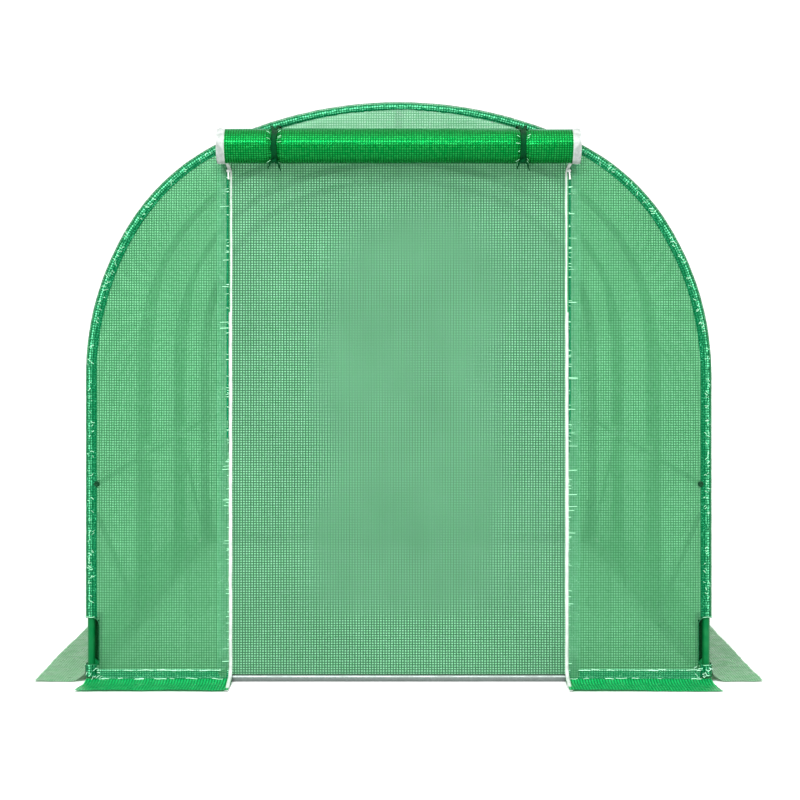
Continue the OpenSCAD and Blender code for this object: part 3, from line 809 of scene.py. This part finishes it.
def sleeve_section(width):
    """Across the sleeve: how far outside the hoop, how far out from the end, and how far round.

    The last is cloth measured from the tube's front. width is that of the front face, one number for
    each place along the hoop.
    """
    outer = COVER_OFF + 0.002
    face = FACE_Y - END_Y + 0.0008
    phi = -math.acos(face / SLEEVE_R)  # where the flat face meets the bend
    hem = (outer - width)[:, None]
    meets = SLEEVE_R * math.sin(phi)
    sixths, turn = np.linspace(0, 1, 7), np.linspace(phi, math.pi / 2, 15)
    flat, lap = sixths[:-1], sixths[1:]
    every = 0 * hem
    off = [hem + (meets - hem) * flat, every + SLEEVE_R * np.sin(turn),
           every + SLEEVE_R + (outer - SLEEVE_R) * lap]
    out = [every + face + 0 * flat, every + SLEEVE_R * np.cos(turn), every - SLEEVE_WRAP * lap]
    run = [SLEEVE_R * phi - (meets - hem) * (1 - flat), every + SLEEVE_R * turn,
           every + SLEEVE_R * math.pi / 2 + SLEEVE_WRAP * lap]
    return [np.concatenate(parts, 1) for parts in (off, out, run)]


def sleeve(name, node, end):
    """The doubled strip over an end hoop, round the tube from the end wall onto the cover."""
    shape = Shape()
    low = leg_s(0.018)
    marks = [leg_s(z) for z in POCKET_Z]
    ss = lines(-low, low, 0.0045, marks + [-m for m in marks])
    crown = smooth_step(np.abs(ss), ARCH_L, 0.2)
    off, out, run = sleeve_section(SLEEVE_W + (SLEEVE_CROWN_W - SLEEVE_W) * crown)
    s = np.broadcast_to(ss[:, None], off.shape)
    from_hem = run - run[:, :1]
    hem = np.exp(-(from_hem / 0.008) ** 2)
    height = leg_z(s)
    foot = smooth_step(height, 0.09, 0.05)  # it is gathered at the foot
    pucker = crease(s * 70, run * 30, 12) - 0.45
    crumple = crease(s * 26, run * 45, 13) - 0.5
    lift = 0.0016 * pucker * (0.3 + 0.7 * hem) + 0.0013 * crumple + 0.0050 * foot * (crumple + 0.25)
    lift += 0.0012 * np.exp(-((from_hem - 0.0032) / 0.0012) ** 2)
    turn = np.clip(np.arctan2(off, out), 0, math.pi / 2)
    off = off + lift * np.sin(turn) + 0.0010 * soft(s * 16, run * 0, 14) * hem
    out = out + lift * np.cos(turn)
    x, z, _, _ = arch(s, off)
    hc = cells(height)
    keep = ~((hc > POCKET_Z[0]) & (hc < POCKET_Z[1]) & (cells(out) > FACE_Y - END_Y - POCKET_W))
    shape.grid(pack(x, end * (END_Y + out), z), pack(s, run), keep, flip=end > 0)
    ob = shape.build(name, SLEEVE)
    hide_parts(node)


def mesh_screen():
    """The mesh in the doorway, held at its sides and foot and slack between them."""
    shape = Shape()
    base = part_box("mesh_screen")[0][2]
    top = DOOR_TOP + 0.03
    x, z = grid_of(lines(-DOOR_X, DOOR_X, 0.012), lines(base, top, 0.012))
    held = smooth_step(np.abs(x), DOOR_X, DOOR_X - 0.25) * smooth_step(z, base, base + 0.15)
    sink = held * (0.006 + 0.0035 * soft(x * 3, z * 1.5, 21) + 0.0012 * soft(x * 9, z * 6, 22))
    shape.grid(pack(x, sink - WALL_Y, z), pack(x, z), flip=True)
    ob = shape.build("door_screen", SCREEN)
    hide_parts("mesh_screen")


# --- Skirts and flaps ---


def ground_sheet(name, node, material, start, along, out, length, reach, rise, flare, both, seed):
    """A strip from the foot of a wall out over the ground, creased and lying on it.

    start is its corner at the wall, along its run and out its reach, as unit directions. It spreads
    by flare towards its free edge, at both ends or only at the far one.
    """
    shape = Shape()
    start, along, out = (np.array(p, float) for p in (start, along, out))
    l, u = grid_of(lines(0, length, 0.010), lines(0, reach, 0.006, [FLAP_BEND]))
    ripple = 0.0045 * crease(l * 9 + u * 7, u * 6, seed) + 0.0035 * soft(l * 3.5, u * 5, seed + 1)
    pleat = 0.0042 * crease(l * 26 - u * 20, u * 4, seed + 2) * smooth_step(u, 0, 0.03)
    z = 0.0012 + lip(u, rise) + np.maximum(ripple * smooth_step(u, 0.01, reach) + pleat * 0.8, 0)
    z[:, 0] = rise
    edge = 0.0020 * soft(l * 7, u * 0, seed + 3) * (u / reach)
    l = l + flare * (u / reach) * (l / length * 2 - 1 if both else l / length)
    points = start + l[..., None] * along + (u + edge)[..., None] * out
    points[..., 2] = z
    shape.grid(points, pack(l, u), flip=np.cross(along, out)[2] < 0)
    ob = shape.build(name, material)
    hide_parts(node)


def skirts():
    """The side skirts, the two front flaps and the rear one."""
    x = EDGE_X - 0.001
    inner = DOOR_X - ZIP_W / 2
    for side, word in SIDES:
        ground_sheet(f"skirt_{word}", f"side_skirt_{word}", SKIRT, (side * x, -WALL_Y, 0), (0, 1, 0),
                     (side, 0, 0), 2 * WALL_Y, SKIRT_W + 0.004, SKIRT_Z, 0.0, True, 30 + side)
        ground_sheet(f"flap_{word}", f"front_flap_{word}", FLAP, (side * inner, -WALL_Y, 0), (side, 0, 0),
                     (0, -1, 0), x - inner, FLAP_W, FLAP_Z, 0.014, False, 40 + side)
    ground_sheet("flap_rear", "rear_flap", FLAP, (-x, WALL_Y, 0), (1, 0, 0), (0, 1, 0), 2 * x, FLAP_W,
                 FLAP_Z, 0.014, True, 50)


# --- Door ---


def round_roll(x, r, angle):
    """Points round the roll's middle line; angle runs from straight up, forwards."""
    return pack(x, ROLL_Y - r * np.sin(angle), ROLL_Z + r * np.cos(angle))


def roll_pinch(x):
    """How much of its radius the roll keeps where the ties squeeze it."""
    return 1 - 0.15 * np.exp(-((np.abs(np.abs(x) - TIE_X)) / 0.020) ** 2)


def roll_point(x, r, angle, pinch=True):
    """Points on the rolled sheet at radius r, drawn in and pleated by the ties if pinch says so."""
    if pinch:
        pull = np.exp(-((np.abs(np.abs(x) - TIE_X) - 0.013) / 0.026) ** 2)
        pleats = 0.0055 * pull * (np.abs(np.sin(angle * 9 + 0.8 * np.sin(angle * 2))) ** 0.7 - 0.6)
        r = r * roll_pinch(x) + pleats * (r / ROLL_R)
    r = r + 0.0010 * soft(x * 5, angle * 1.5, 61) + 0.0005 * soft(x * 22, angle * 5, 62)
    r = r + 0.0009 * np.sin(5 * angle + 0.9 * soft(x * 1.5, 0 * angle, 65)) * (r / ROLL_R)
    return round_roll(x, r, angle)


def spiral(outer, per_lap):
    """The rolled sheet's angles, from the core out and up behind to its seam, its radii and its run."""
    sweep = LAPS * 2 * math.pi
    angle = np.linspace(-sweep, -math.pi / 2, int(LAPS * per_lap / FINE))
    radius = CORE + (outer - CORE) * (1 + (angle + math.pi / 2) / sweep)
    return angle, radius, np.concatenate([[0], np.cumsum(radius[1:] * np.diff(angle))])


def door_roll():
    """The door, wound up from its hem."""
    shape = Shape()
    angle, radius, run = spiral(ROLL_R - 0.0012, 36)
    xs = lines(-ROLL_X, ROLL_X, 0.009, [-TIE_X, TIE_X])
    x, a = grid_of(xs, angle)
    shape.grid(roll_point(x, radius, a), pack(*grid_of(xs, run)))
    ob = shape.build("rolled_door", ROLL)
    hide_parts("door_roll")


def roll_ends():
    """The white zip tape wound up with the door, standing out of each end of the roll."""
    shape = Shape()
    angle, radius, run = spiral(ROLL_R + 0.0002, 40)
    wide = COIL_X - ROLL_X
    ws = np.array([-0.003, 0, 0.004, 0.008, 0.012, 0.016, 0.019, 0.021, wide])
    w, a = grid_of(ws, angle)
    swell = 0.0010 * np.sin(np.clip(w / wide, 0, 1) * math.pi) + 0.0006 * np.cos(w / 0.0055 * 2 * math.pi)
    drift = 0.0012 * soft(a * 0.9, w * 0, 63) * (w / wide)
    q, b = grid_of(np.linspace(0, 1, 5), angle)
    inward = (ROLL_R - CORE) / LAPS * 0.86
    dome = 0.0012 * np.sin(q * math.pi) + 0.0010 * soft(b * 3, q * 2, 64)
    for side in (-1, 1):
        wall = roll_point(side * (ROLL_X + w + drift), radius + swell * (radius / ROLL_R), a, False)
        shape.grid(wall, pack(*grid_of(ws, run))[..., ::-1], flip=side < 0)
        face = roll_point(side * (COIL_X - 0.0012 + dome), radius - inward * q, b, False)
        shape.grid(face, pack(radius * b, q * inward), flip=side > 0)
    ob = shape.build("wound_zip_ends", COIL)
    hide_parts("roll_zip_ends")


def tie_band(shape, x0, r0, seed):
    """The tape round the roll, ruffled along its edges."""
    a, w = grid_of(np.linspace(0, 2 * math.pi, 121), np.linspace(-1, 1, 9))
    ruffle = 0.5 + 0.5 * soft(a * 6, w * 0.7, seed)
    x = x0 + w * (TIE_W / 2) * (0.88 + 0.30 * (ruffle - 0.5)) + 0.0012 * np.sin(a * 3)
    r = r0 + 0.0020 + 0.0040 * np.abs(w) ** 2.5 * ruffle + 0.0008 * np.cos(w * 7)
    shape.grid(round_roll(x, r, a), pack(a * r0, w * TIE_W / 2))


def tie_tops(shape, x0, r0):
    """The tie's two ends, from the roll up to the seam over the door."""
    t = np.linspace(0, 1, 9)[:, None]
    for lean in (-1, 1):
        foot = np.array([x0 + lean * 0.003, ROLL_Y - 0.016, ROLL_Z + r0 * 0.98])
        ear = np.array([x0 + lean * 0.012, ROLL_Y + 0.006, ROLL_Z + ROLL_R + 0.0075])
        seam = np.array([x0 + lean * 0.014, -FACE_Y - 0.003, ROLL_Z + ROLL_R + 0.006])
        path = np.concatenate([foot * (1 - t) + ear * t, (ear * (1 - t) + seam * t)[1:]])
        shape.ribbon(path, (1, 0.5 * lean, 0), 0.010, TIE_THICK)


def tie_tails(shape, foot):
    """The two tails that hang from the knot."""
    t = np.linspace(0, 1, 14)[:, None]
    for lean, long in ((-1, 0.030), (1, 0.034)):
        end = foot + np.array([lean * 0.018, -0.006 + 0.004 * lean, -long])
        bow = np.array([lean * 0.005, -0.006, 0.002]) * (t * (1 - t) * 4)
        bow = bow + np.array([0.0012, 0, 0]) * np.sin(t * 14 + lean)
        twist = np.concatenate([np.cos(1.3 * lean * t), np.sin(1.3 * lean * t), 0 * t], 1)
        shape.ribbon(foot * (1 - t) + end * t + bow, twist, 0.010 - 0.005 * t[:, 0], TIE_THICK)


def ties():
    """The two ties that hold the roll up."""
    r0 = ROLL_R * float(roll_pinch(TIE_X))
    for side, word in SIDES:
        shape = Shape()
        x0 = side * TIE_X
        tie_band(shape, x0, r0, 66 + side)
        tie_tops(shape, x0, r0)
        foot = np.array([x0, ROLL_Y - 0.022, ROLL_Z - r0 * 0.96])
        tie_tails(shape, foot)
        knot(shape, foot + np.array([0, -0.002, -0.001]))
        ob = shape.build(f"tie_{word}_strap", TIE)
        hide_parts(f"tie_{word}")
        tie_glints(side, word)


def tie_glints(side, word):
    """Pale strokes spreading from each tie: painted highlights on the roll's creases."""
    def place(rng, t):
        a = rng.uniform(0.45, 2.7)
        out = rng.choice([-1, 1])
        x = side * TIE_X + out * (0.0125 + rng.uniform(0.004, 0.013) * t)
        spread = a + (a - 1.6) * 0.16 * t
        return round_roll(x, ROLL_R * roll_pinch(x) + 0.0022 + 0.0006 * np.sin(t * 3.1), spread)
    glint_strokes(f"roll_creases_{word}", THREAD_GLINT, 8, place, (0.0003, 0.0007), 300 + side)


def knot(shape, centre):
    """A tight tape knot: two crossed turns of the tape."""
    t = np.linspace(0, 2 * math.pi, 25)
    for tilt in (-0.6, 0.6):
        ring = pack(0.009 * np.cos(t) * math.cos(tilt), -0.0055 * np.sin(t) - 0.0015,
                    0.009 * np.cos(t) * math.sin(tilt) + 0.0022 * np.sin(2 * t))
        shape.ribbon(centre + ring, (-math.sin(tilt), 0, math.cos(tilt)), 0.0085, 0.0016)


def zip_path(seed):
    """The right-hand zip's line: down the wall, round the foot and out along the flap."""
    z = ZIP_BEND_Z + lines(0, DOOR_TOP - 0.012 - ZIP_BEND_Z, 0.006)[::-1]
    flare = smooth_step(z, DOOR_TOP - 0.055, DOOR_TOP)
    wall = pack(DOOR_X + 0.014 * flare ** 1.5, -(FACE_Y + 0.0022 + 0.012 * flare + 0.001), z)
    a = np.linspace(0, math.pi / 2, 9)[1:]
    r = ZIP_BEND_R
    bend = pack(DOOR_X, -(FACE_Y + 0.003 + r - r * np.cos(a)), ZIP_BEND_Z - r * np.sin(a) * 0.9)
    _, y_in, z_in = bend[-1]
    y_end = WALL_Y + FLAP_W
    y = lines(-y_in, y_end, 0.006)[1:]
    k = (y - FACE_Y - 0.033) / (y_end - FACE_Y - 0.033)
    flap = pack(DOOR_X, -y, z_in + (0.0055 - z_in) * np.minimum(1, k * 1.6))
    path = np.concatenate([wall, bend, flap])
    path[:, 0] += 0.0007 * soft(np.arange(len(path)) * 0.12, 0 * path[:, 0], seed)
    return path


def zips():
    """The half of each zip that stays on the wall, from the roll down and out along the flap."""
    for side, word in SIDES:
        shape = Shape()
        path = zip_path(70 + side) * (side, 1, 1)
        shape.ribbon(path, (1, 0, 0), ZIP_W, 0.0012)
        out = unit(np.cross(np.gradient(path, axis=0), (-1.0, 0, 0)))
        coil(shape, path + np.array([-side * (ZIP_W / 2 - 0.0012), 0, 0]) + out * 0.0014, out)
        slider(shape, np.array([side * (DOOR_X + 0.006), -(FACE_Y + 0.012), DOOR_TOP - 0.040]))
        ob = shape.build(f"zip_{word}", ZIP, TEETH)
        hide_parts(f"zipper_{word}")


def coil(shape, path, out):
    """The row of interlocking teeth along the edge of the tape."""
    run = run_along(path)
    pitch = 0.0028 * FINE
    at = np.arange(pitch, run[-1] - pitch, pitch)
    centre, up = (pack(*[np.interp(at, run, column) for column in rows.T]) for rows in (path, out))
    ahead = unit(np.gradient(centre, axis=0))
    half = np.array([(-1, -1), (1, -1), (1, 1), (-1, 1), (-1, -1)])
    for c, f, w, u in zip(centre, ahead, np.cross(ahead, up), up):
        loop = c + half[:, :1] * w * 0.0017 + half[:, 1:] * f * 0.0009
        tip = c + half[:, :1] * w * 0.0011 + half[:, 1:] * f * 0.0006
        points = [loop - u * 0.0010, loop + u * 0.0004, tip + u * 0.0011, c + 0 * tip + u * 0.0011]
        shape.grid(points, np.zeros((4, 5, 2)), slot=1, flip=True)


def slider(shape, c):
    """The zip's slider with its pull."""
    shape.lathe(c, (0, -1, 0), [(-0.003, 0.001), (-0.003, 0.005), (0.002, 0.006), (0.004, 0.0045),
                                (0.004, 0.0001)], 16, slot=1)
    t = np.linspace(0, 1, 10)[:, None]
    path = c + np.array([0, -0.004, 0.002]) + t * np.array([0.002, -0.004, -0.030])
    shape.ribbon(path, (1, 0, 0), 0.0065 - 0.0015 * np.sin(t[:, 0] * 3.1), 0.0014, slot=1)


def facings():
    """The stiffened strip beside each zip, its sewn groove with painted shade in it towards the top, and
    the pale threads across the groove, painted as glints.
    """
    for side, word in SIDES:
        shape = Shape()
        z, q = grid_of(lines(0.014, DOOR_TOP, 0.004), np.linspace(0, 1, 13))
        x = FACING_X - 0.0005 + (FACING_W + 0.0005) * q
        x = x + 0.0015 * soft(z * 14, q * 0, 81) * (q > 0.9)
        groove = np.exp(-((x - FACING_X - 0.003) / 0.003) ** 2)
        lift = 0.0016 + 0.0034 * crease(z * 32, q * 1.2, 82 + side) * (1 - 0.6 * q)
        lift = lift + 0.0012 * soft(z * 75, q * 3, 83)
        lift = lift * (1 - 0.8 * groove) * smooth_step(1 - q, -0.05, 0.25)
        y = -(WALL_Y + wall_bulge(x, z) + 0.0004 + np.maximum(lift, 0))
        xc, zc = cells(x), z[:-1, :-1]
        # painted shade: darker cloth beside the zip, widening towards the top
        shade_above = smooth_step(zc + 0.1 * soft(zc * 9, 0 * xc, 85), 0.55, 1.0)
        dark = xc < FACING_X + shade_above * (0.0062 + 0.002 * soft(zc * 60, 0 * xc, 84))
        for slot, keep in enumerate((~dark, dark)):
            shape.grid(pack(side * x, y, z), pack(z, x), keep, slot=slot, flip=side > 0)
        ob = shape.build(f"facing_{word}", FACING, GROOVE_SHADE)
        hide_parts(f"zip_facing_{word}")
        facing_thread_glints(side, word)


def glint_strokes(name, material, count, place, thick, seed):
    """Short pale strokes, painted highlights where the cloth puckers; place(rng, t) gives each one's
    points.
    """
    rng = np.random.RandomState(seed)
    shape = Shape()
    t = np.linspace(0, 1, 6)
    for _ in range(count):
        shape.tube(place(rng, t), (0.13, 0.98, 0.11), rng.uniform(*thick), 5)
    shape.build(name, material)


def facing_thread_glints(side, word):
    """Weft threads pulled across the groove beside a zip, painted pale as their glints."""
    def place(rng, t):
        z = rng.uniform(0.06, DOOR_TOP - 0.04)
        long = rng.uniform(0.003, 0.011) if rng.rand() < 0.8 else rng.uniform(0.011, 0.030)
        x = FACING_X - 0.001 + long * t
        z = z + rng.uniform(-0.002, 0.002) * t
        out = WALL_Y + wall_bulge(x, z) + 0.0040 + 0.0010 * np.sin(t * 3.1)
        return pack(side * x, -out, z)
    glint_strokes(f"facing_threads_{word}", THREAD_GLINT, 75, place, (0.0005, 0.0012), 100 + side)


def sleeve_glints():
    """Pale strokes across the front sleeve: painted highlights on its fine crinkles."""
    def place(rng, t):
        s = rng.choice([-1, 1]) * rng.uniform(CROWN_L, leg_s(0.25))
        turn = rng.uniform(-0.45, 0.5)
        a = turn + rng.uniform(0.15, 0.6) * (t - 0.5)
        r = SLEEVE_R + 0.0014
        s = s + 0.003 * np.sin(t * 3 + s * 40) + rng.uniform(-0.004, 0.004) * t
        x, z, _, _ = arch(s, r * np.sin(a))
        return pack(x, -END_Y - r * np.cos(a), z)
    glint_strokes("sleeve_crinkles", THREAD_GLINT, 200, place, (0.0004, 0.0010), 400)


def hem_glints(side, word):
    """Pale strokes along the hem, painted highlights on its crumpled edges, thickest where the sleeve is
    gathered at its foot.
    """
    def place(rng, t):
        if rng.rand() < 0.35:  # by the sleeve's foot
            x0, z0 = HALF_W - rng.uniform(-0.014, 0.040), rng.uniform(0.014, 0.056)
            long, lean, lift = rng.uniform(0.006, 0.016), rng.uniform(-1.2, 0.6), 0.0060
        else:
            x0 = HALF_W - rng.uniform(0.03, HALF_W - DOOR_X - 0.02)
            z0 = rng.choice([0.0125, 0.0405]) + rng.uniform(-0.002, 0.002)
            long, lean, lift = rng.uniform(0.010, 0.040), rng.uniform(-0.06, 0.06), 0.0036
        x = x0 + long * (t - 0.5) * math.cos(lean)
        z = np.maximum(z0 + long * (t - 0.5) * math.sin(lean) + 0.0008 * np.sin(t * 6 + x0 * 90), 0.010)
        return pack(side * x, 0.004 * np.maximum(x - HALF_W, 0) / 0.014 - FACE_Y - lift, z)
    glint_strokes(f"hem_glints_{word}", GLINT, 34, place, (0.0005, 0.0011), 200 + side)


# --- Fittings ---


def rail_caps():
    """Domed caps on the side rails' ends, each in a rimmed eyelet."""
    shape = Shape()
    r = extent("rail_caps", 2) / 2
    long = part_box("rail_caps")[1][1] - END_Y - TUBE_R
    profile = [(0, r * 0.9), (long - 0.003, r * 0.92), (long - 0.003, r), (long - 0.0012, r),
               (long, r * 0.8), (long + 0.0003, r * 0.45), (long - 0.0006, r * 0.40),
               (long - 0.0006, 0.0002)]
    for x in (-RAIL_X, RAIL_X):
        for end in (-1, 1):
            shape.lathe((x, end * (END_Y + TUBE_R), RAIL_Z), (0, end, 0), profile, 32)
    ob = shape.build("rail_end_caps", DARK)
    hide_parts("rail_caps")


def bare_nodes():
    """The tubes and fittings that the frame already shapes only need their materials."""
    for name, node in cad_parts.items():
        if name.startswith(("hoop_", "base_rail", "ridge_rail", "side_rail", "brace", "door_post")):
            paint(node, STEEL)
        elif name.startswith(("corner_foot", "base_tee")):
            paint(node, PLASTIC)


def paint(ob, material):
    ob = bpy.data.objects[ob] if isinstance(ob, str) else ob
    if not ob.data.materials:
        ob.data.materials.append(material)
    for slot in ob.material_slots:
        slot.material = material


make_camera()
make_stage()
make_lights()
front_panels()
front_crescent()
rear_panel()
roof_cover()
hoop_strips()
sleeve("end_sleeve_front", "sleeve_front", -1)
sleeve("end_sleeve_rear", "sleeve_rear", 1)
end_hem("hem_front", -1, DOOR_X + ZIP_W / 2, HALF_W - 0.022)
end_hem("hem_rear", 1, 0.022 - HALF_W, HALF_W - 0.022)
for side, word in SIDES:
    hem_glints(side, word)
sleeve_glints()
pocket_trim()
mesh_screen()
skirts()
facings()
zips()
door_roll()
roll_ends()
ties()
rail_caps()
bare_nodes()
